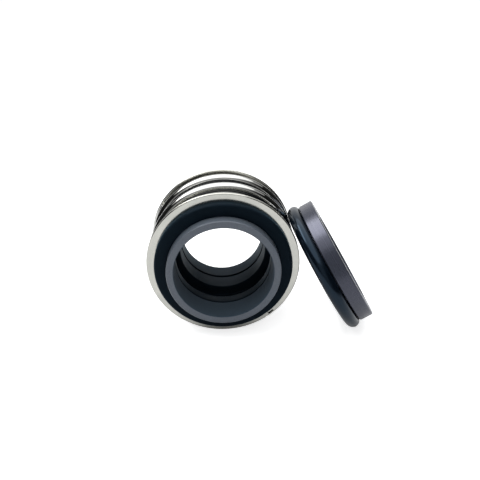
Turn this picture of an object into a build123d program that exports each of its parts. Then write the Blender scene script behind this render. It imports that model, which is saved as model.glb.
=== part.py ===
from build123d import *

import os
from math import cos, radians, sin, sqrt

# A rubber-bellows shaft seal set: the rotating head lies on its side on the rims of its two collars,
# and the stationary seat leans on it. Millimetres, +Z up.
# The head's axis is Y, with its sealing face towards -Y. The origin is on that axis, at the rear face
# of the tail. A station is a place along Y, so every station of the head is negative or zero.

# ---------------------------------------------------------------- shaft and lengths of the head
shaft_radius = 15.0
shaft_grip = 0.4  # how much smaller than the shaft the rubber's bore is, on the radius
working_length = 26.5  # length of the head once it is set on its shaft
tail_lip_length = 2.0  # rubber behind the rear collar
spring_space = 21.7  # from flange to flange, unloaded
nose_length = 2.65  # rubber ahead of the front collar
face_proud = 3.45  # seal face ahead of the rubber nose

# ---------------------------------------------------------------- collars, pressed from one sheet
sheet = 1.1
flange_width = 3.6  # how far a flange stands out from the front sleeve
sleeve_gap = 0.3  # between the two sleeves, one inside the other
sleeve_overlap = 1.05  # how far one sleeve reaches into the other, unloaded
sleeve_end_gap = 0.7  # left between the front sleeve and the rear flange at full travel
bend_radius = 0.2  # inside of the bend from flange to sleeve
rim_rounding = 0.4
sleeve_end_rounding = 0.3

# Lanced tab in each flange, pressed towards the spring
tab_angle = -48.8  # degrees from +X towards +Z
tab_length = 2.2
tab_width = 1.75
tab_rim_wall = 0.8  # what is left of the flange outside the tab
tab_depth = 0.35
lance_width = 0.45
nick_angle = -54.3
nick_width = 0.8
nick_depth = 0.6

# ---------------------------------------------------------------- spring
wire_radius = 1.5
coil_inset = 0.25  # how far the coil's outside lies within the collar rims
coil_seat_gap = 0.02
coil_start_angle = -40.0  # where the wire starts on the front flange, from +X towards -Z
front_closed_turn = 70.0  # degrees of wire that lie flat on the front flange
front_rise_turn = 240.0  # degrees over which the wire then climbs faster
front_rise_pitch = 12.0
coil_pitch = 8.3
rear_closed_turn = 200.0  # degrees of wire that lie flat on the rear flange

# ---------------------------------------------------------------- seal face
face_shaft_gap = 0.9
face_wall = 2.4
face_length = 9.0
face_edge = 0.2

# ---------------------------------------------------------------- bellows
fit_gap = 0.05  # between the rubber and what it grips
face_grip_wall = 1.9  # rubber between the seal face and the front sleeve
nose_radius = 22.4
nose_rounding = 0.9
front_lip_rounding = 0.8  # where the rubber meets the back of the seal face
grip_groove_width = 1.4
grip_groove_depth = 0.5
grip_groove_station = -7.2
membrane_wall = 1.5
membrane_step = 0.65  # from the front block down to the membrane
convolution_length = 4.5  # the fold that is open to the bore
outer_fold_depth = 3.0
outer_fold_length = 2.4
tail_front_step = 0.2  # tail rubber ahead of the rear sleeve
fold_rounding = 0.6
block_rounding = 0.25  # where the front block steps down to the membrane
tail_lip_radius = 21.5
tail_lip_rounding = 0.4

# ---------------------------------------------------------------- seat and its rubber ring
seat_shaft_gap = 1.3
seat_hub_wall = 2.15
seat_shoulder = 3.35  # how far the disc stands out from the hub
seat_disc_length = 4.6
seat_hub_length = 4.6
lapped_edge = 0.25
seat_edge = 0.2
ring_section_radius = 2.25
ring_set_back = 0.15  # between the disc's back and the rubber ring
seat_lean = 30.1  # degrees that the seat's axis points up
seat_turn = 0.9  # degrees that the seat's axis turns from +X to +Y
seat_lean_gap = 0.12
seat_ahead = 18.85  # the middle of the seat, ahead of the tail's rear face

# ---------------------------------------------------------------- stations and radii that follow
full_turn = 360.0
shaft_bore_radius = shaft_radius - shaft_grip
face_bore_radius = shaft_radius + face_shaft_gap
face_outer_radius = face_bore_radius + face_wall
pocket_radius = face_outer_radius + fit_gap
block_radius = pocket_radius + face_grip_wall
front_sleeve_bore_radius = block_radius + fit_gap
rim_radius = front_sleeve_bore_radius + sheet + flange_width
rear_flange_rear = -tail_lip_length
rear_flange_front = rear_flange_rear - sheet
front_flange_rear = rear_flange_front - spring_space
front_flange_front = front_flange_rear - sheet
nose_front = front_flange_front - nose_length
face_front = nose_front - face_proud
face_rear = face_front + face_length
free_length = -face_front
travel = free_length - working_length
front_sleeve_end = rear_flange_front - travel - sleeve_end_gap
rear_sleeve_end = front_sleeve_end - sleeve_overlap
rear_sleeve_outer_radius = front_sleeve_bore_radius - sleeve_gap
rear_sleeve_bore_radius = rear_sleeve_outer_radius - sheet
tail_radius = rear_sleeve_bore_radius - fit_gap
coil_radius = rim_radius - coil_inset - wire_radius
seat_bore_radius = shaft_radius + seat_shaft_gap
seat_hub_radius = seat_bore_radius + seat_hub_wall
seat_outer_radius = seat_hub_radius + seat_shoulder
ring_circle = seat_hub_radius + fit_gap + ring_section_radius


def band(inner, outer, front, rear):
    """A rectangle of a half section: radii along X, stations along Y."""
    middle = Pos((inner + outer) / 2, (front + rear) / 2)
    return middle * Rectangle(outer - inner, abs(rear - front))


def corners(section, *places):
    """The vertices of a half section that lie nearest to the given radii and stations."""
    return [section.vertices().sort_by_distance(Vector(*place))[0] for place in places]


def turned(section):
    """A half section turned about the head's axis."""
    return revolve(section, Axis.Y)


def collar_section(sleeve_bore, flange_face, sleeve_end):
    """Half section of a pressed collar: a flange, a bend and a sleeve of one sheet."""
    inwards = 1 if sleeve_end > flange_face else -1
    flange_back = flange_face + inwards * sheet
    sleeve_outer = sleeve_bore + sheet
    section = band(sleeve_bore, rim_radius, flange_face, flange_back)
    section += band(sleeve_bore, sleeve_outer, flange_face, sleeve_end)
    section = fillet(corners(section, (sleeve_bore, flange_face)), bend_radius + sheet)
    section = fillet(corners(section, (sleeve_outer, flange_back)), bend_radius)
    section = fillet(corners(section, (sleeve_outer, sleeve_end)), sleeve_end_rounding)
    return fillet(
        corners(section, (rim_radius, flange_face), (rim_radius, flange_back)),
        rim_rounding,
    )


def lanced(collar, flange_face):
    """Presses the drive tab into a flange: a shallow step, the slot beside it and a nick."""
    tab_outer_radius = rim_radius - tab_rim_wall
    tab_middle_radius = tab_outer_radius - tab_width / 2
    step = Pos(tab_middle_radius, 0, 0) * Box(tab_width, 2 * tab_depth, tab_length)
    slot = Pos(tab_outer_radius, 0, 0) * Box(lance_width, 4 * sheet, tab_length)
    nick = Pos(rim_radius, 0, 0) * Box(2 * nick_depth, 2 * nick_depth, nick_width)
    at_face = Pos(0, flange_face, 0)
    cuts = at_face * Rot(0, -tab_angle, 0) * (step + slot)
    return collar - cuts - at_face * Rot(0, -nick_angle, 0) * nick


def front_collar_section():
    return collar_section(front_sleeve_bore_radius, front_flange_front, front_sleeve_end)


def rear_collar_section():
    return collar_section(rear_sleeve_bore_radius, rear_flange_rear, rear_sleeve_end)


def make_front_collar():
    return lanced(turned(front_collar_section()), front_flange_front)


def make_rear_collar():
    return lanced(turned(rear_collar_section()), rear_flange_rear)


def seal_face_section():
    section = band(face_bore_radius, face_outer_radius, face_front, face_rear)
    return chamfer(section.vertices(), face_edge)


def make_seal_face():
    return turned(seal_face_section())


def make_bellows():
    """One rubber moulding: nose, front block, open fold, outer fold, tail and tail lip."""
    tail_front = rear_sleeve_end - tail_front_step
    fold_rear = tail_front - outer_fold_length
    convolution_rear = fold_rear - membrane_wall
    convolution_front = convolution_rear - convolution_length
    membrane_radius = block_radius - membrane_step
    convolution_radius = membrane_radius - membrane_wall
    neck_radius = membrane_radius - outer_fold_depth
    pocket_floor = face_rear + fit_gap

    nose = band(pocket_radius, nose_radius, nose_front, front_flange_rear)
    pocket_wall = band(pocket_radius, block_radius, front_flange_front, pocket_floor)
    block = band(face_bore_radius, block_radius, pocket_floor, convolution_front)
    membrane = band(convolution_radius, membrane_radius, convolution_front, fold_rear)
    fold = band(shaft_bore_radius, membrane_radius, convolution_rear, fold_rear)
    neck = band(shaft_bore_radius, neck_radius, fold_rear, tail_front)
    tail = band(shaft_bore_radius, tail_radius, tail_front, rear_flange_rear)
    lip = band(shaft_bore_radius, tail_lip_radius, rear_flange_front, 0)
    section = nose + pocket_wall + block + membrane + fold + neck + tail + lip

    grip_groove = band(
        shaft_bore_radius - grip_groove_depth,
        shaft_bore_radius + grip_groove_depth,
        grip_groove_station - grip_groove_width / 2,
        grip_groove_station + grip_groove_width / 2,
    )
    section -= grip_groove
    section = fillet(corners(section, (nose_radius, nose_front)), nose_rounding)
    section = fillet(corners(section, (tail_lip_radius, 0)), tail_lip_rounding)
    section = fillet(
        corners(
            section,
            (convolution_radius, convolution_front),
            (convolution_radius, convolution_rear),
            (membrane_radius, fold_rear),
            (neck_radius, fold_rear),
            (neck_radius, tail_front),
        ),
        fold_rounding,
    )
    block_end = corners(section, (block_radius, convolution_front), (membrane_radius, convolution_front))
    section = fillet(block_end, block_rounding)
    section = fillet(corners(section, (face_bore_radius, pocket_floor)), front_lip_rounding)
    for collar in (front_collar_section(), rear_collar_section()):
        section -= offset(collar, amount=fit_gap)
    return turned(section)


def coil_arc(height, start, turn):
    """A stretch of wire that lies flat, at a height above the first turn."""
    return CenterArc((0, 0, height), coil_radius, start, turn)


def coil_climb(height, start, pitch, rise):
    """A stretch of wire that climbs."""
    return Pos(0, 0, height) * Rot(0, 0, start) * Helix(pitch, rise, coil_radius)


def make_spring():
    """A coil of round wire whose ends lie flat on the two flanges."""
    front_middle = front_flange_rear + coil_seat_gap + wire_radius
    rear_middle = rear_flange_front - coil_seat_gap - wire_radius
    front_rise = front_rise_pitch * front_rise_turn / full_turn
    main_rise = rear_middle - front_middle - front_rise
    climb_start = coil_start_angle + front_closed_turn
    main_start = climb_start + front_rise_turn
    rear_start = main_start + full_turn * main_rise / coil_pitch
    path = Wire(
        [
            coil_arc(0, coil_start_angle, front_closed_turn),
            coil_climb(0, climb_start, front_rise_pitch, front_rise),
            coil_climb(front_rise, main_start, coil_pitch, main_rise),
            coil_arc(front_rise + main_rise, rear_start, rear_closed_turn),
        ]
    )
    wire_end = Plane(origin=path @ 0, z_dir=path % 0) * Circle(wire_radius)
    coil = sweep(wire_end, path=path)
    return Pos(0, front_middle, 0) * Rot(-90, 0, 0) * coil


def seat_place():
    """The seat's back plane, with its rubber ring standing on the ground and its top at the rims."""
    axis = Vector(
        cos(radians(seat_lean)) * cos(radians(seat_turn)),
        cos(radians(seat_lean)) * sin(radians(seat_turn)),
        sin(radians(seat_lean)),
    )
    half_height = ring_circle * cos(radians(seat_lean))
    height = half_height + ring_section_radius - rim_radius
    top_height = height + half_height
    top_reach = rim_radius + seat_lean_gap + ring_section_radius
    top_side = sqrt(top_reach**2 - top_height**2)
    side = top_side + ring_circle * sin(radians(seat_lean))
    ring_middle = Vector(side, -seat_ahead, height)
    back = ring_middle + axis * (ring_set_back + ring_section_radius)
    return Plane(origin=back, z_dir=axis)


def make_seat_ring():
    """The disc with its lapped face, and the hub behind it that carries the rubber ring."""
    section = band(seat_bore_radius, seat_outer_radius, 0, seat_disc_length)
    section += band(seat_bore_radius, seat_hub_radius, -seat_hub_length, 0)
    section = chamfer(corners(section, (seat_outer_radius, seat_disc_length)), lapped_edge)
    section = chamfer(
        corners(
            section,
            (seat_bore_radius, seat_disc_length),
            (seat_outer_radius, 0),
            (seat_hub_radius, -seat_hub_length),
            (seat_bore_radius, -seat_hub_length),
        ),
        seat_edge,
    )
    about_z = Rot(90, 0, 0) * turned(section)
    return seat_place() * about_z


def make_seat_o_ring():
    middle = -ring_set_back - ring_section_radius
    return seat_place() * Pos(0, 0, middle) * Torus(ring_circle, ring_section_radius)


makers = {
    "seal_face": make_seal_face,
    "bellows": make_bellows,
    "front_collar": make_front_collar,
    "rear_collar": make_rear_collar,
    "spring": make_spring,
    "seat_ring": make_seat_ring,
    "seat_o_ring": make_seat_o_ring,
}

os.makedirs("parts", exist_ok=True)
for node, make in makers.items():
    shape = make()
    export_step(shape, f"parts/{node}.step")
    print(f"{node}: {shape.volume:.1f} mm3")
print(f"free length {free_length:.2f} mm, travel {travel:.2f} mm")
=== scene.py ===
# %% [markdown]
# # A shaft seal set, dressed in Blender
# The set is a rotating head (ceramic face ring, rubber bellows, two pressed collars and a coil
# spring) and the stationary seat that it runs against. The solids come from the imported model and
# are already at their real size and place, so this file only adds finishes, and makes the pieces
# that change shape: the rubber and the spring. Everything is in metres, and the head's axis is Y.

# %% Load the frame
import math

import bmesh
import bpy
from mathutils import Matrix, Vector


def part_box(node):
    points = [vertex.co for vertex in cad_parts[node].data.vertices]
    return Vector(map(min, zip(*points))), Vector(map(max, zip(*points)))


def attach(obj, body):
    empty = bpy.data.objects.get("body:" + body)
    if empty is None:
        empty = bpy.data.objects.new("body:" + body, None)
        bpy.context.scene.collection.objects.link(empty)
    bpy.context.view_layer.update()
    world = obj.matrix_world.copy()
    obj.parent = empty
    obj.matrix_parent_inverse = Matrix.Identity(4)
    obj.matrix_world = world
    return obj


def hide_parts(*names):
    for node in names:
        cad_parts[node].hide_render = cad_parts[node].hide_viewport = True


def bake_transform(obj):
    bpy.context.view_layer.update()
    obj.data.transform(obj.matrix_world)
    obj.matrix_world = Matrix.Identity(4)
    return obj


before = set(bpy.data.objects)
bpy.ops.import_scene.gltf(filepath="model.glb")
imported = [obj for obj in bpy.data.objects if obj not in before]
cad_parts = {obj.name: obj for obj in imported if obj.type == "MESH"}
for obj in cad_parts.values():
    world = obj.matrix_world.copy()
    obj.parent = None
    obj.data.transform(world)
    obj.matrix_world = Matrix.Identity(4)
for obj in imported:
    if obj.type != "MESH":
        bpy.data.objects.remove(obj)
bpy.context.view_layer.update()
MM = 0.001
FULL_TURN = 2 * math.pi
print("nodes:", sorted(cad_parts))

# %% [markdown]
# ## What the solids say
# Sizes are read from the solids where they can be, so that a change there comes through here. A box
# gives the lowest and highest corner of a node: half its width is a radius, and its Y values are
# the places where the piece starts and ends along the shaft. A box doesn't show the sheet's
# thickness or the face ring's bore, so these two are written out.

# %% Read the sizes of the head
def radius_of(node):
    low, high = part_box(node)
    return (high[2] - low[2]) / 2


def front_of(node):
    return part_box(node)[0][1]


def rear_of(node):
    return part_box(node)[1][1]


RIM_RADIUS = radius_of("front_collar")
SHEET = 1.1 * MM
FRONT_FLANGE = front_of("front_collar")
REAR_FLANGE = rear_of("rear_collar")
REAR_SLEEVE_END = front_of("rear_collar")
FACE_REAR = rear_of("seal_face")
FACE_RADIUS = radius_of("seal_face")
NOSE_FRONT = front_of("bellows")
NOSE_RADIUS = radius_of("bellows")
COIL_OUTER_RADIUS = radius_of("spring")
FACE_BORE_RADIUS = 15.9 * MM
print("rim radius", round(RIM_RADIUS / MM, 2), "mm")
print("head length", round(-front_of("seal_face") / MM, 2), "mm")

# %% [markdown]
# ## The camera
# A 41 mm lens on a 36 mm sensor, held above the object and looking down at it by about 25 degrees.
# Its place is given from the tail of the head, and its heading is turned a little to the right.

# %% Set the camera
CAMERA_PLACE = (-2.09 * MM, -183.28 * MM, 84.07 * MM)
CAMERA_DOWN = math.radians(25.46)
CAMERA_TURN = math.radians(2.72)
LENS = 41.05
SENSOR = 36.0

camera_data = bpy.data.cameras.new("camera")
camera_data.lens = LENS
camera_data.sensor_width = SENSOR
camera_data.clip_start = 0.01
camera = bpy.data.objects.new("camera", camera_data)
camera.location = CAMERA_PLACE
camera.rotation_euler = (math.pi / 2 - CAMERA_DOWN, 0, -CAMERA_TURN)
bpy.context.scene.collection.objects.link(camera)
bpy.context.scene.camera = camera
print("camera looks down by", round(math.degrees(CAMERA_DOWN), 1), "degrees")

# %% [markdown]
# ## Small helpers for materials
# Colours are written as the sRGB hex values that a colour picker shows, and turned to the linear
# values that the shader works with. One function adds a node, sets its sockets and links them: a
# value that is a socket is linked, and any other value is set. Most sockets go by their names. A Mix
# node has several of one name, so its two colours go by their numbers, 6 and 7, and come out of 2.

# %% Colour and node helpers
def linear(hex_colour):
    """An sRGB hex colour as linear red, green, blue and alpha."""
    channels = [int(hex_colour[i:i + 2], 16) / 255 for i in (1, 3, 5)]
    light = [c / 12.92 if c <= 0.04045 else ((c + 0.055) / 1.055) ** 2.4 for c in channels]
    return (*light, 1.0)


def add_node(tree, kind, inputs=None, **settings):
    """Adds a node, sets its properties, and sets or links its inputs."""
    node = tree.nodes.new(kind)
    for name, value in settings.items():
        setattr(node, name, value)
    for name, value in (inputs or {}).items():
        if isinstance(value, bpy.types.NodeSocket):
            tree.links.new(value, node.inputs[name])
        else:
            node.inputs[name].default_value = value
    return node


def new_material(name):
    """A material with an empty Principled shader, and the tree and shader to work on."""
    material = bpy.data.materials.new(name)
    material.use_nodes = True
    tree = material.node_tree
    return material, tree, tree.nodes["Principled BSDF"]


def give(piece, material):
    """The piece gets this material on all its faces."""
    piece.data.materials.clear()
    piece.data.materials.append(material)


# %% [markdown]
# ## Patterns that turn with the axis
# Ground, lapped and pressed round parts carry fine lines that run round them. Such a line is the same
# all the way round, so the pattern depends on the distance from the axis and the place along it,
# and only a little on the angle. The function below works out that place from Object coordinates.

# %% Coordinates around an axis
def around_axis(tree, centre=(0, 0, 0), tilt=(0, 0, 0), stretch=0.03):
    """A vector of distance from an axis and place along it, shifted a little by the angle."""
    place = add_node(tree, "ShaderNodeTexCoord").outputs["Object"]
    local = add_node(
        tree,
        "ShaderNodeMapping",
        {"Vector": place, "Location": centre, "Rotation": tilt},
        vector_type="TEXTURE",
    ).outputs["Vector"]
    parts = add_node(tree, "ShaderNodeSeparateXYZ", {0: local}).outputs
    flat = add_node(tree, "ShaderNodeCombineXYZ", {"X": parts["X"], "Y": parts["Z"]}).outputs[0]
    distance = add_node(tree, "ShaderNodeVectorMath", {0: flat}, operation="LENGTH").outputs["Value"]
    across = add_node(tree, "ShaderNodeVectorMath", {0: flat}, operation="NORMALIZE").outputs["Vector"]
    slight = add_node(
        tree, "ShaderNodeVectorMath", {0: across, "Scale": stretch * RIM_RADIUS}, operation="SCALE"
    ).outputs["Vector"]
    shift = add_node(tree, "ShaderNodeSeparateXYZ", {0: slight}).outputs
    outwards = add_node(tree, "ShaderNodeMath", {0: distance, 1: shift["X"]}, operation="ADD").outputs[0]
    along = add_node(tree, "ShaderNodeMath", {0: parts["Y"], 1: shift["Y"]}, operation="ADD").outputs[0]
    return add_node(tree, "ShaderNodeCombineXYZ", {"X": outwards, "Y": along}).outputs[0]


# %% [markdown]
# ## Stain and grain
# No made surface is the same all over. In each finish here one pattern, the stain, blends two near
# colours, and another, the grain, gives a very shallow relief. One of the two also makes the
# roughness go up and down. Each pattern is noise with a size in millimetres. The marks of the press,
# the grinding and the drawing are finer on the real parts, and are drawn as coarse as they need to
# be to show at all.

# %% Stain and grain
PATTERN_FROM = 0.3  # nearly all of a noise pattern lies between these two values
PATTERN_TO = 0.7
RELIEF_DEPTH = 0.02 * MM


def make_uneven(tree, shader, stain, grain, colours, roughness, relief, rough_by_stain=False):
    """Stain and grain are each a vector, a size and a detail. Gives the colour and the roughness."""
    stain_pattern, grain_pattern = (
        add_node(
            tree, "ShaderNodeTexNoise", {"Vector": vector, "Scale": 1 / size, "Detail": detail}
        ).outputs["Fac"]
        for vector, size, detail in (stain, grain)
    )
    span = {"From Min": PATTERN_FROM, "From Max": PATTERN_TO}
    share = add_node(tree, "ShaderNodeMapRange", {"Value": stain_pattern, **span}).outputs["Result"]
    colour = add_node(
        tree,
        "ShaderNodeMix",
        {"Factor": share, 6: linear(colours[0]), 7: linear(colours[1])},
        data_type="RGBA",
    ).outputs[2]
    worn = stain_pattern if rough_by_stain else grain_pattern
    rough = add_node(
        tree,
        "ShaderNodeMapRange",
        {"Value": worn, **span, "To Min": roughness[0], "To Max": roughness[1]},
    ).outputs["Result"]
    bump = add_node(
        tree, "ShaderNodeBump", {"Height": grain_pattern, "Strength": relief, "Distance": RELIEF_DEPTH}
    ).outputs["Normal"]
    tree.links.new(colour, shader.inputs["Base Color"])
    tree.links.new(rough, shader.inputs["Roughness"])
    tree.links.new(bump, shader.inputs["Normal"])
    return colour, rough


# %% [markdown]
# ## Zones
# A part can have one finish in one zone and another finish, or painted shade, in another. A zone here is
# made of limits. Each goes from one value to another while a place, such as the distance from the axis,
# goes from its start to its end. Multiplied, they make a zone that keeps within all of them, and their
# maximum makes one that takes in all of them.

# %% Zones on a round part
def station_and_distance(tree):
    """A point's place along the head's axis, and how far from it the point is."""
    place = add_node(tree, "ShaderNodeTexCoord").outputs["Object"]
    parts = add_node(tree, "ShaderNodeSeparateXYZ", {0: place}).outputs
    flat = add_node(tree, "ShaderNodeCombineXYZ", {"X": parts["X"], "Y": parts["Z"]}).outputs[0]
    distance = add_node(tree, "ShaderNodeVectorMath", {0: flat}, operation="LENGTH").outputs["Value"]
    return parts["Y"], distance


def zone(tree, limits, join="MULTIPLY"):
    """Joins limits, each of them (place, start, end, value before, value after)."""
    joined = None
    for place, start, end, before, after in limits:
        limit = add_node(
            tree,
            "ShaderNodeMapRange",
            {"Value": place, "From Min": start, "From Max": end, "To Min": before, "To Max": after},
        ).outputs["Result"]
        if joined is not None:
            limit = add_node(tree, "ShaderNodeMath", {0: joined, 1: limit}, operation=join).outputs[0]
        joined = limit
    return joined


# %% [markdown]
# ## Pressed stainless sheet
# The collars are stainless steel, blanked and pressed from strip, then tumbled. The rolled surface
# is bright but not a mirror: it blurs what it reflects a little, and shows faint marks that run
# round the part from the press tool. The blanked rim is torn rather than rolled, so it is rougher.
# The sleeves under the spring carry a dark, non-metal band of painted shade, which stands in for the
# shade between the coils. The cut walls of the tab's slot and of the nick beside it carry painted
# shade as well. Where a point lies, as a distance from the axis and a station along it, tells which
# finish it has.

# %% Collar steel
# Painted shade: a dark band on the sleeves under the spring stands in for the shade between the coils.
SHADE_BAND_RADIUS = 21.65 * MM  # the painted shade band lies inside this radius,
SHADE_BAND_FRONT = -20.3 * MM  # behind this station
SHADE_BAND_REAR = -4.5 * MM  # and ahead of this one
SHADE_BAND_FADE = 0.3 * MM
CUT_FROM = 22.2 * MM  # the slot and the nick lie between these two radii
CUT_TO = 24.55 * MM
TAB_DEPTH = 0.35 * MM  # how far the tab is bent in
SKIN = 0.03 * MM  # the painted shade of a cut wall keeps this far from the faces beside it
FADE = 0.05 * MM
TORN_WIDTH = 0.12 * MM
TORN_ROUGHNESS = 0.22
ROLLED_ROUGHNESS = (0.12, 0.22)
PRESS_MARK = 0.45 * MM
STEEL_CLOUD = 4 * MM
STEEL_COLOURS = ("#c9c8c1", "#bdbdb7")
# Painted shade for the cut walls of the tab's slot and the nick, standing in for the shade inside them.
SLOT_SHADE_COLOUR = "#141618"
SHADE_BAND_COLOUR = "#0d1217"


def slot_shade_mask(tree, station, distance):
    """1 on the cut walls of the slot and the nick, which carry painted shade: inside the sheet, but not
    on the tab.
    """
    sheet_rear = FRONT_FLANGE + SHEET
    tab_face = FRONT_FLANGE + TAB_DEPTH
    behind_tab = add_node(tree, "ShaderNodeMath", {0: station, 1: tab_face}, operation="SUBTRACT")
    off_tab = add_node(tree, "ShaderNodeMath", {0: behind_tab.outputs[0]}, operation="ABSOLUTE")
    limits = (
        (distance, CUT_FROM, CUT_FROM + 2 * FADE, 0, 1),
        (distance, CUT_TO - FADE, CUT_TO, 1, 0),
        (station, FRONT_FLANGE + SKIN, FRONT_FLANGE + SKIN + FADE, 0, 1),
        (station, sheet_rear - SKIN - FADE, sheet_rear - SKIN, 1, 0),
        (off_tab.outputs[0], SKIN, 2 * SKIN, 0, 1),
    )
    return zone(tree, limits)


def clear_of_shade_band(tree, station, distance):
    """1 outside the painted shade band: outside its radius, ahead of it or behind it."""
    limits = (
        (distance, SHADE_BAND_RADIUS, SHADE_BAND_RADIUS + FADE, 0, 1),
        (station, SHADE_BAND_FRONT - SHADE_BAND_FADE, SHADE_BAND_FRONT, 1, 0),
        (station, SHADE_BAND_REAR, SHADE_BAND_REAR + SHADE_BAND_FADE, 0, 1),
    )
    return zone(tree, limits, join="MAXIMUM")


def make_collar_steel():
    material, tree, shader = new_material("pressed_stainless_steel")
    place = add_node(tree, "ShaderNodeTexCoord").outputs["Object"]
    rolled, marked = make_uneven(
        tree,
        shader,
        stain=(place, STEEL_CLOUD, 4),
        grain=(around_axis(tree), PRESS_MARK, 3),
        colours=STEEL_COLOURS,
        roughness=ROLLED_ROUGHNESS,
        relief=0.06,
    )
    station, distance = station_and_distance(tree)
    # Painted shade: the sleeves under the spring get a dark, non-metal band in place of the shade
    # between the coils.
    outside_shade_band = clear_of_shade_band(tree, station, distance)
    # Painted shade: the cut walls of the slot and the nick are made dark in place of the shade inside
    # them.
    steel = add_node(
        tree,
        "ShaderNodeMix",
        {"Factor": slot_shade_mask(tree, station, distance), 6: rolled, 7: linear(SLOT_SHADE_COLOUR)},
        data_type="RGBA",
    ).outputs[2]
    colour = add_node(
        tree, "ShaderNodeMix", {"Factor": outside_shade_band, 6: linear(SHADE_BAND_COLOUR), 7: steel}, data_type="RGBA"
    ).outputs[2]
    torn = zone(tree, [(distance, RIM_RADIUS - TORN_WIDTH, RIM_RADIUS - FADE, 0, TORN_ROUGHNESS)])
    rough = add_node(tree, "ShaderNodeMath", {0: marked, 1: torn}, operation="ADD").outputs[0]
    tree.links.new(colour, shader.inputs["Base Color"])
    tree.links.new(outside_shade_band, shader.inputs["Metallic"])
    tree.links.new(rough, shader.inputs["Roughness"])
    return material


collar_steel = make_collar_steel()
for name in ("front_collar", "rear_collar"):
    give(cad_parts[name], collar_steel)
print("collars:", collar_steel.name)

# %% [markdown]
# ## Sintered ceramic
# The face ring and the seat are silicon carbide: a grey, very hard ceramic that is sintered, then
# ground on its sides and lapped flat on its face. The grinding leaves a fine grain that runs round
# the part and spreads its reflections. Pure silicon carbide bends light far more than glass does,
# but the ground surface scatters most of that, and an index near 1.7 gives the soft gleam that is
# seen. Its gleam is a little blue. Both parts take their finish from one function.

# %% Ceramic
GRINDING_LINE = 0.5 * MM
CERAMIC_SPECK = 0.35 * MM
GROUND_SPREAD = 0.04


def make_ceramic(name, colours, gleam_hex, vector_of, roughness, ior):
    """A grey ceramic whose grain runs round the axis that vector_of works from."""
    material, tree, shader = new_material(name)
    place = add_node(tree, "ShaderNodeTexCoord").outputs["Object"]
    make_uneven(
        tree,
        shader,
        stain=(place, CERAMIC_SPECK, 2),
        grain=(vector_of(tree), GRINDING_LINE, 3),
        colours=colours,
        roughness=(roughness - GROUND_SPREAD, roughness + GROUND_SPREAD),
        relief=0.05,
    )
    shader.inputs["IOR"].default_value = ior
    shader.inputs["Specular Tint"].default_value = linear(gleam_hex)
    return material


# %% [markdown]
# ## The face ring's ceramic
# The bore of the face ring is darker and more matt than the ground sides. So its finish changes
# just outside the bore's radius, where the ground values are blended with the bore's own.

# %% The face ring's ceramic
BORE_COLOUR = "#172c39"
BORE_ROUGHNESS = 0.9
GROUND_FROM = FACE_BORE_RADIUS + 0.1 * MM  # the ground surface begins between these two radii
GROUND_FULLY = FACE_BORE_RADIUS + 0.25 * MM


def dull_the_bore(material):
    """The bore is more matt and darker than the ground sides."""
    tree = material.node_tree
    shader = tree.nodes["Principled BSDF"]
    colour, roughness = shader.inputs["Base Color"], shader.inputs["Roughness"]
    distance = station_and_distance(tree)[1]
    ground = zone(tree, [(distance, GROUND_FROM, GROUND_FULLY, 0, 1)])
    ground_colour = colour.links[0].from_socket
    mixed_colour = add_node(
        tree,
        "ShaderNodeMix",
        {"Factor": ground, 6: linear(BORE_COLOUR), 7: ground_colour},
        data_type="RGBA",
    ).outputs[2]
    tree.links.new(mixed_colour, colour)
    ground_roughness = roughness.links[0].from_socket
    mixed_roughness = add_node(
        tree, "ShaderNodeMix", {"Factor": ground, 2: BORE_ROUGHNESS, 3: ground_roughness}
    ).outputs[0]
    tree.links.new(mixed_roughness, roughness)


face_ceramic = make_ceramic(
    "lapped_silicon_carbide",
    colours=("#434a52", "#4d545c"),
    gleam_hex="#ecf2ff",
    vector_of=around_axis,
    roughness=0.38,
    ior=1.75,
)
dull_the_bore(face_ceramic)
give(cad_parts["seal_face"], face_ceramic)
print("face ring:", face_ceramic.name)

# %% [markdown]
# ## The seat's ceramic
# The seat leans on the head, so its grain runs round its own, leaning axis. The middle of its rubber
# ring lies on that axis, and a turn from Y to the axis makes the pattern follow it.

# %% The seat's ceramic
SEAT_LEAN = math.radians(30.1)
SEAT_TURN = math.radians(0.9)


def seat_frame():
    """The seat's middle, and its turn from an axis along Y to its real, leaning axis."""
    low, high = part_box("seat_o_ring")
    middle = (Vector(low) + Vector(high)) / 2
    axis = Vector(
        (
            math.cos(SEAT_LEAN) * math.cos(SEAT_TURN),
            math.cos(SEAT_LEAN) * math.sin(SEAT_TURN),
            math.sin(SEAT_LEAN),
        )
    )
    return middle, Vector((0, 1, 0)).rotation_difference(axis)


seat_middle, seat_turn = seat_frame()


def around_seat_axis(tree):
    return around_axis(tree, tuple(seat_middle), tuple(seat_turn.to_euler()))


seat_ceramic = make_ceramic(
    "ground_silicon_carbide",
    colours=("#20252d", "#292c36"),
    gleam_hex="#e6e8ff",
    vector_of=around_seat_axis,
    roughness=0.25,
    ior=1.7,
)
give(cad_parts["seat_ring"], seat_ceramic)
print("seat ring:", seat_ceramic.name)

# %% [markdown]
# ## Moulded rubber
# The bellows and the seat's ring are black nitrile rubber, moulded in steel tools. The bellows comes
# from a blasted tool and is matt, and the ring from a polished one and is satin. On the bellows wax
# from the mix has come to the surface as a thin bloom, which gives the black a faint blue sheen. The
# ring shows none. A trace of mould release makes both a little uneven.

# %% Rubber
RELEASE_FILM = 5 * MM
RUBBER_PORE = 0.4 * MM
FILM_SPREAD = 0.05
RUBBER_GLEAM = "#b8dcff"
BLOOM_COLOUR = "#8accf2"
BLOOM_ROUGHNESS = 0.4


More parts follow.
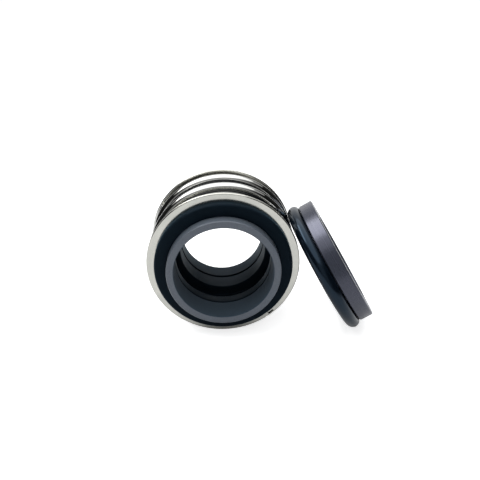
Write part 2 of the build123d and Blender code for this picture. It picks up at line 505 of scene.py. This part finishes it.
def make_rubber(name, colours, roughness, specular, bloom):
    """Black rubber. bloom says how strong the sheen of the wax on it is."""
    material, tree, shader = new_material(name)
    place = add_node(tree, "ShaderNodeTexCoord").outputs["Object"]
    make_uneven(
        tree,
        shader,
        stain=(place, RELEASE_FILM, 4),
        grain=(place, RUBBER_PORE, 2),
        colours=colours,
        roughness=(roughness - FILM_SPREAD, roughness + FILM_SPREAD),
        relief=0.08,
        rough_by_stain=True,
    )
    shader.inputs["Specular IOR Level"].default_value = specular
    shader.inputs["Specular Tint"].default_value = linear(RUBBER_GLEAM)
    shader.inputs["Sheen Weight"].default_value = bloom
    shader.inputs["Sheen Roughness"].default_value = BLOOM_ROUGHNESS
    shader.inputs["Sheen Tint"].default_value = linear(BLOOM_COLOUR)
    return material


bellows_rubber = make_rubber(
    "moulded_nitrile_rubber", ("#0a1117", "#0d161d"), roughness=0.5, specular=0.065, bloom=0.13
)
ring_rubber = make_rubber(
    "satin_nitrile_rubber", ("#060b12", "#0a1119"), roughness=0.17, specular=0.38, bloom=0.0
)
print("rubbers:", bellows_rubber.name, ring_rubber.name)

# %% [markdown]
# ## Turning a section
# A turned or moulded round part is one half section spun about its axis. The section is drawn as a
# closed loop of corners, each with its radius, its station and how much it is rounded. The loop is
# spun for a full turn, and the edges that run round the part at a rounded corner are then bevelled.

# %% Spin a half section
TURN_STEPS = 192
BEVEL_SEGMENTS = 5
NEAR = 0.005 * MM
WELD = 0.001 * MM


def spun(name, outline):
    """A ring from corners of (radius, station, rounding)."""
    bm = bmesh.new()
    corners = [bm.verts.new((radius, station, 0)) for radius, station, _ in outline]
    loop = [bm.edges.new((a, b)) for a, b in zip(corners, corners[1:] + corners[:1])]
    bmesh.ops.spin(
        bm,
        geom=corners + loop,
        cent=(0, 0, 0),
        axis=(0, 1, 0),
        angle=FULL_TURN,
        steps=TURN_STEPS,
        use_merge=True,
    )
    for radius, station, rounding in outline:
        if rounding:
            bmesh.ops.bevel(
                bm,
                geom=[e for e in bm.edges if runs_round(e, radius, station)],
                affect="EDGES",
                offset=rounding,
                segments=BEVEL_SEGMENTS,
                profile=0.5,
                material=-1,
                clamp_overlap=True,
            )
    bmesh.ops.remove_doubles(bm, verts=bm.verts, dist=WELD)
    bmesh.ops.recalc_face_normals(bm, faces=bm.faces)
    return finished(name, bm)


def runs_round(edge, radius, station):
    """Whether both ends of an edge lie at this radius and station."""
    return all(
        abs(math.hypot(v.co.x, v.co.z) - radius) < NEAR and abs(v.co.y - station) < NEAR
        for v in edge.verts
    )


def finished(name, bm, smooth_below=35):
    """A linked object from a bmesh, smooth except at edges sharper than the angle."""
    mesh = bpy.data.meshes.new(name)
    bm.to_mesh(mesh)
    bm.free()
    mesh.shade_smooth()
    mesh.set_sharp_from_angle(angle=math.radians(smooth_below))
    piece = bpy.data.objects.new(name, mesh)
    bpy.context.scene.collection.objects.link(piece)
    print(name, "has", len(mesh.polygons), "faces")
    return piece


# %% [markdown]
# ## The bellows
# The bellows is one rubber moulding. Its nose grips the face ring, a thin wall folds once inwards
# and once outwards, and the thick tail grips the shaft.

# %% Make the bellows
FIT_GAP = 0.05 * MM
SHAFT_BORE_RADIUS = 14.6 * MM
FRONT_SLEEVE_BORE = 20.3 * MM
REAR_SLEEVE_BORE = 18.9 * MM
MEMBRANE_WALL = 1.5 * MM
MEMBRANE_STEP = 0.65 * MM
CONVOLUTION_LENGTH = 4.5 * MM
OUTER_FOLD_DEPTH = 3.0 * MM
OUTER_FOLD_LENGTH = 2.4 * MM
TAIL_FRONT_STEP = 0.2 * MM
TAIL_LIP_RADIUS = 21.5 * MM
GROOVE_FRONT = -7.9 * MM
GROOVE_REAR = -6.5 * MM
GROOVE_DEPTH = 0.5 * MM
BEND = 1.3 * MM
POCKET_EDGE = 0.25 * MM  # each of these rounds corners of the section
NOSE_EDGE = 0.9 * MM
BLOCK_EDGE = 0.25 * MM
FOLD_EDGE = 0.6 * MM
TAIL_EDGE = 0.4 * MM
BORE_EDGE = 0.15 * MM
LIP_EDGE = 0.3 * MM
POCKET_FLOOR_EDGE = 0.8 * MM


def make_bellows():
    tail_front = REAR_SLEEVE_END - TAIL_FRONT_STEP
    fold_rear = tail_front - OUTER_FOLD_LENGTH
    fold_front = fold_rear - MEMBRANE_WALL
    open_front = fold_front - CONVOLUTION_LENGTH
    block_radius = FRONT_SLEEVE_BORE - FIT_GAP
    membrane_radius = block_radius - MEMBRANE_STEP
    open_radius = membrane_radius - MEMBRANE_WALL
    neck_radius = membrane_radius - OUTER_FOLD_DEPTH
    tail_radius = REAR_SLEEVE_BORE - FIT_GAP
    pocket_radius = FACE_RADIUS + FIT_GAP
    pocket_floor = FACE_REAR + FIT_GAP
    flange_front = FRONT_FLANGE - FIT_GAP
    flange_rear = REAR_FLANGE + FIT_GAP
    groove_radius = SHAFT_BORE_RADIUS + GROOVE_DEPTH
    outline = [
        (pocket_radius, NOSE_FRONT, POCKET_EDGE),
        (NOSE_RADIUS, NOSE_FRONT, NOSE_EDGE),
        (NOSE_RADIUS, flange_front, 0),
        (block_radius, flange_front + BEND, 0),
        (block_radius, open_front, BLOCK_EDGE),
        (membrane_radius, open_front, 0),
        (membrane_radius, fold_rear, FOLD_EDGE),
        (neck_radius, fold_rear, FOLD_EDGE),
        (neck_radius, tail_front, FOLD_EDGE),
        (tail_radius, tail_front, 0),
        (tail_radius, flange_rear - BEND, 0),
        (TAIL_LIP_RADIUS - BEND / 2, flange_rear, 0),
        (TAIL_LIP_RADIUS, flange_rear, 0),
        (TAIL_LIP_RADIUS, 0, TAIL_EDGE),
        (SHAFT_BORE_RADIUS, 0, BORE_EDGE),
        (SHAFT_BORE_RADIUS, GROOVE_REAR, 0),
        (groove_radius, GROOVE_REAR, 0),
        (groove_radius, GROOVE_FRONT, 0),
        (SHAFT_BORE_RADIUS, GROOVE_FRONT, 0),
        (SHAFT_BORE_RADIUS, fold_front, BLOCK_EDGE),
        (open_radius, fold_front, FOLD_EDGE),
        (open_radius, open_front, FOLD_EDGE),
        (FACE_BORE_RADIUS, open_front, LIP_EDGE),
        (FACE_BORE_RADIUS, pocket_floor, POCKET_FLOOR_EDGE),
        (pocket_radius, pocket_floor, 0),
    ]
    return spun("rubber_bellows", outline)


bellows = make_bellows()
give(bellows, bellows_rubber)

# %% [markdown]
# ## The spring
# The spring is one length of drawn stainless wire. Its ends are closed: part of the last turn at each
# end lies flat on its collar, and the first rising part is steeper than the rest. Spinning a circle
# about the axis makes the flat parts, and a spin that also moves along the axis makes the rising
# ones. The wire is spun in small steps, and each step takes its climb from a list of stretches.

# %% Wind the spring
WIRE_RADIUS = 1.5 * MM
COIL_START = math.radians(-40)
FRONT_CLOSED = math.radians(70)
FRONT_RISE_TURN = math.radians(240)
FRONT_RISE_PITCH = 12.0 * MM
COIL_PITCH = 8.3 * MM
REAR_CLOSED = math.radians(200)
COIL_RADIUS = COIL_OUTER_RADIUS - WIRE_RADIUS
COIL_FRONT = front_of("spring") + WIRE_RADIUS
WHOLE_RISE = rear_of("spring") - front_of("spring") - 2 * WIRE_RADIUS
FRONT_RISE = FRONT_RISE_PITCH * FRONT_RISE_TURN / FULL_TURN
MAIN_TURN = FULL_TURN * (WHOLE_RISE - FRONT_RISE) / COIL_PITCH
STRETCHES = (
    (FRONT_CLOSED, 0.0),
    (FRONT_RISE_TURN, FRONT_RISE_PITCH),
    (MAIN_TURN, COIL_PITCH),
    (REAR_CLOSED, 0.0),
)
WIRE_SIDES = 32
STEP = math.radians(2)
EASE = math.radians(14)
EASE_SAMPLES = 4
WIRE_WELD = 0.0001 * MM
WIRE_END_EDGE = 0.15 * MM
WIRE_END_SEGMENTS = 2


def climb_at(turn):
    """How far the wire has climbed after this much turning."""
    climbed = 0.0
    for stretch, pitch in STRETCHES:
        part = min(max(turn, 0.0), stretch)
        climbed += pitch * part / FULL_TURN
        turn -= part
    return climbed


def eased_climb(turn):
    """The climb averaged over a few degrees, so that the wire has no kink where the pitch changes."""
    samples = range(-EASE_SAMPLES, EASE_SAMPLES + 1)
    return sum(climb_at(turn + EASE * k / EASE_SAMPLES) for k in samples) / len(samples)


def wind_spring():
    bm = bmesh.new()
    start = Matrix.Rotation(COIL_START, 4, "Y") @ Matrix.Translation((COIL_RADIUS, COIL_FRONT, 0))
    bmesh.ops.create_circle(bm, segments=WIRE_SIDES, radius=WIRE_RADIUS, matrix=start)
    last = list(bm.verts) + list(bm.edges)
    whole_turn = sum(stretch for stretch, pitch in STRETCHES)
    steps = round(whole_turn / STEP)
    step = whole_turn / steps
    for number in range(steps):
        climb = eased_climb((number + 1) * step) - eased_climb(number * step)
        swept = bmesh.ops.spin(
            bm,
            geom=last,
            cent=(0, 0, 0),
            axis=(0, 1, 0),
            dvec=(0, climb, 0),
            angle=step,
            steps=1,
            use_merge=False,
        )
        last = swept["geom_last"]
    bmesh.ops.remove_doubles(bm, verts=bm.verts, dist=WIRE_WELD)
    open_ends = [e for e in bm.edges if e.is_boundary]
    caps = bmesh.ops.holes_fill(bm, edges=open_ends, sides=WIRE_SIDES)["faces"]
    bmesh.ops.bevel(
        bm,
        geom=list({e for cap in caps for e in cap.edges}),
        affect="EDGES",
        offset=WIRE_END_EDGE,
        segments=WIRE_END_SEGMENTS,
        profile=0.5,
        material=-1,
    )
    bmesh.ops.recalc_face_normals(bm, faces=bm.faces)
    print("wire turns", round(math.degrees(whole_turn)), "degrees")
    return finished("coil_spring", bm, smooth_below=50)


spring = wind_spring()

# %% [markdown]
# ## Drawn spring wire
# Spring wire is drawn through dies, which leaves a bright surface with fine lines along the wire. It
# is almost a mirror here, so that it shows sharp dark and light bands.

# %% Spring steel
DRAWN_LINE = 0.3 * MM
DRAWN_LINE_STRETCH = 0.2
WIRE_CLOUD = 3 * MM
WIRE_COLOURS = ("#cdcdca", "#c0c0be")
WIRE_ROUGHNESS = (0.02, 0.07)


def make_spring_steel():
    material, tree, shader = new_material("drawn_stainless_wire")
    place = add_node(tree, "ShaderNodeTexCoord").outputs["Object"]
    make_uneven(
        tree,
        shader,
        stain=(place, WIRE_CLOUD, 4),
        grain=(around_axis(tree, stretch=DRAWN_LINE_STRETCH), DRAWN_LINE, 3),
        colours=WIRE_COLOURS,
        roughness=WIRE_ROUGHNESS,
        relief=0.015,
    )
    shader.inputs["Metallic"].default_value = 1.0
    return material


spring_steel = make_spring_steel()
give(spring, spring_steel)
print("wire:", spring_steel.name)

# %% [markdown]
# ## The seat's rubber ring
# A moulded ring has a faint flash line where the two halves of its tool meet. The section is a circle
# with that line as a small ridge on its outer side, spun about the seat's leaning axis.

# %% Mould the ring
FLASH_HEIGHT = 0.05 * MM
SECTION_RADIUS = 2.25 * MM
RING_CIRCLE = 20.75 * MM
SECTION_SIDES = 40
RING_STEPS = 240


def mould_ring():
    bm = bmesh.new()
    bmesh.ops.create_circle(
        bm,
        segments=SECTION_SIDES,
        radius=SECTION_RADIUS - FLASH_HEIGHT,
        matrix=Matrix.Translation((RING_CIRCLE, 0, 0)),
    )
    outermost = max(bm.verts, key=lambda v: v.co.x)
    outermost.co.x += FLASH_HEIGHT
    bmesh.ops.spin(
        bm,
        geom=list(bm.verts) + list(bm.edges),
        cent=(0, 0, 0),
        axis=(0, 1, 0),
        angle=FULL_TURN,
        steps=RING_STEPS,
        use_merge=True,
    )
    bmesh.ops.rotate(bm, verts=bm.verts, cent=(0, 0, 0), matrix=seat_turn.to_matrix())
    bmesh.ops.translate(bm, verts=bm.verts, vec=seat_middle)
    bmesh.ops.recalc_face_normals(bm, faces=bm.faces)
    return finished("seat_rubber_ring", bm)


seat_rubber = mould_ring()
give(seat_rubber, ring_rubber)

# %% [markdown]
# ## What moves with what
# The tail side stays, and the face side slides towards it. The new bellows and spring take the place of
# the solids they stand for, and the seat's rubber ring rides with the tail.

# %% Ride and replace
TAIL = "tail_group"

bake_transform(bellows)
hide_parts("bellows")

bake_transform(spring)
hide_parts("spring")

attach(seat_rubber, TAIL)
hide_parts("seat_o_ring")

# %% [markdown]
# ## The floor
# The set stands on a white table before a white background. The floor adds some light of its own
# where it is seen, so that it comes out white and keeps only a soft shadow. Polished parts mirror
# much less of that light.

# %% Lay the floor
FLOOR_HEIGHT = -RIM_RADIUS
FLOOR_HALF_SIZE = 4.0
FLOOR_COLOUR = "#d6d7d8"
FLOOR_ROUGHNESS = 0.9
SEEN_GLOW = 0.75  # the floor's own light where the camera sees it
MIRRORED_GLOW = 0.08  # and where polished parts mirror it
WHITE = "#ffffff"


def lay_floor():
    bm = bmesh.new()
    ground = Matrix.Translation((0, 0, FLOOR_HEIGHT))
    bmesh.ops.create_grid(bm, x_segments=1, y_segments=1, size=FLOOR_HALF_SIZE, matrix=ground)
    floor = finished("floor", bm)
    material, tree, shader = new_material("white_table")
    shader.inputs["Base Color"].default_value = linear(FLOOR_COLOUR)
    shader.inputs["Roughness"].default_value = FLOOR_ROUGHNESS
    shader.inputs["Specular IOR Level"].default_value = 0.0
    rays = add_node(tree, "ShaderNodeLightPath").outputs
    seen = add_node(
        tree,
        "ShaderNodeMath",
        {0: rays["Is Camera Ray"], 1: rays["Is Transmission Ray"]},
        operation="MAXIMUM",
    ).outputs[0]
    mirrored = add_node(
        tree, "ShaderNodeMath", {0: rays["Is Glossy Ray"], 1: MIRRORED_GLOW}, operation="MULTIPLY"
    ).outputs[0]
    glow = add_node(
        tree, "ShaderNodeMath", {0: seen, 1: SEEN_GLOW, 2: mirrored}, operation="MULTIPLY_ADD"
    ).outputs[0]
    tree.links.new(glow, shader.inputs["Emission Strength"])
    shader.inputs["Emission Color"].default_value = linear(WHITE)
    give(floor, material)


lay_floor()

# %% [markdown]
# ## The room
# Polished metal and ceramic show their surroundings more than their own colour, so the room counts
# too. They mirror the white behind the table, and a dimmer room behind the camera and at both sides.
# The camera itself sees plain white.

# %% Light the room
ROOM_BEHIND_CAMERA = 0.4
ROOM_BEHIND_TABLE = 1.0
ROOM_AT_SIDES = 0.025
DEPTH_SPAN = (-0.3, 0.1)  # the Y of a direction, from behind the camera to behind the table
SIDE_SPAN = (0.3, 0.6)  # its X, from the middle to either side


def light_room():
    world = bpy.data.worlds.new("studio")
    bpy.context.scene.world = world
    world.use_nodes = True
    tree = world.node_tree
    background = tree.nodes["Background"]
    direction = add_node(tree, "ShaderNodeTexCoord").outputs["Generated"]
    parts = add_node(tree, "ShaderNodeSeparateXYZ", {0: direction}).outputs
    sideways = add_node(tree, "ShaderNodeMath", {0: parts["X"]}, operation="ABSOLUTE").outputs[0]
    sides = (sideways, *SIDE_SPAN, 1, ROOM_AT_SIDES)
    room = zone(tree, [(parts["Y"], *DEPTH_SPAN, ROOM_BEHIND_CAMERA, ROOM_BEHIND_TABLE), sides])
    behind_table = zone(tree, [(parts["Y"], *DEPTH_SPAN, 0, 1), sides])
    rays = add_node(tree, "ShaderNodeLightPath").outputs
    mirrored = add_node(
        tree, "ShaderNodeMath", {0: rays["Is Glossy Ray"], 1: behind_table}, operation="MULTIPLY"
    ).outputs[0]
    strength = room
    for white in (rays["Is Camera Ray"], rays["Is Transmission Ray"], mirrored):
        strength = add_node(
            tree, "ShaderNodeMath", {0: strength, 1: white}, operation="MAXIMUM"
        ).outputs[0]
    tree.links.new(strength, background.inputs["Strength"])
    background.inputs["Color"].default_value = linear(WHITE)


light_room()
print("room lit, strength behind the camera", ROOM_BEHIND_CAMERA)

# %% [markdown]
# ## The lamps
# The light comes from an oval soft box overhead, with a wider and dimmer one at the same place so
# that its edge fades, and from a smaller and stronger one at the left. A lamp's power is worked out
# from how bright its face is, so a change of size leaves the reflections as bright as before.

# %% Hang the lamps
OVERHEAD_SIZE = (0.9, 1.0)  # width and depth in metres
HALO_SIZE = (1.4, 0.95)
KEY_SIZE = (0.42, 0.28)
OVERHEAD_RADIANCE = 1.6
HALO_RADIANCE = 0.42
KEY_RADIANCE = 4.7
OVERHEAD_PLACE = (180, 88, 0.5)  # azimuth and elevation in degrees, and distance in metres
KEY_PLACE = (-78, 55, 0.6)
KEY_AIM = Vector((0.01, -0.015, 0))
OVERHEAD_AIM = KEY_AIM + Vector((-0.03, 0, 0))


def area_lamp(name, shape, size, radiance):
    """A rectangular or elliptical lamp whose power comes from how bright its face is."""
    data = bpy.data.lights.new(name, "AREA")
    data.shape = shape
    data.size, data.size_y = size
    area = size[0] * size[1]
    if shape == "ELLIPSE":
        area *= math.pi / 4
    data.energy = radiance * math.pi * area
    return bpy.data.objects.new(name, data)


def hang(lamp, azimuth, elevation, distance, aim):
    """Points the lamp at a spot. Azimuth 0 is over +Y, and 90 is over +X."""
    around, up = math.radians(azimuth), math.radians(elevation)
    out = Vector((math.sin(around) * math.cos(up), math.cos(around) * math.cos(up), math.sin(up)))
    lamp.location = aim + out * distance
    lamp.rotation_euler = out.to_track_quat("Z", "Y").to_euler()
    bpy.context.scene.collection.objects.link(lamp)


overhead = area_lamp("overhead_lamp", "ELLIPSE", OVERHEAD_SIZE, OVERHEAD_RADIANCE)
halo = area_lamp("overhead_halo", "ELLIPSE", HALO_SIZE, HALO_RADIANCE)
key = area_lamp("key_lamp", "RECTANGLE", KEY_SIZE, KEY_RADIANCE)
hang(overhead, *OVERHEAD_PLACE, OVERHEAD_AIM)
hang(halo, *OVERHEAD_PLACE, OVERHEAD_AIM)
hang(key, *KEY_PLACE, KEY_AIM)
bpy.context.scene.view_settings.view_transform = "Standard"
print("lamps hung")
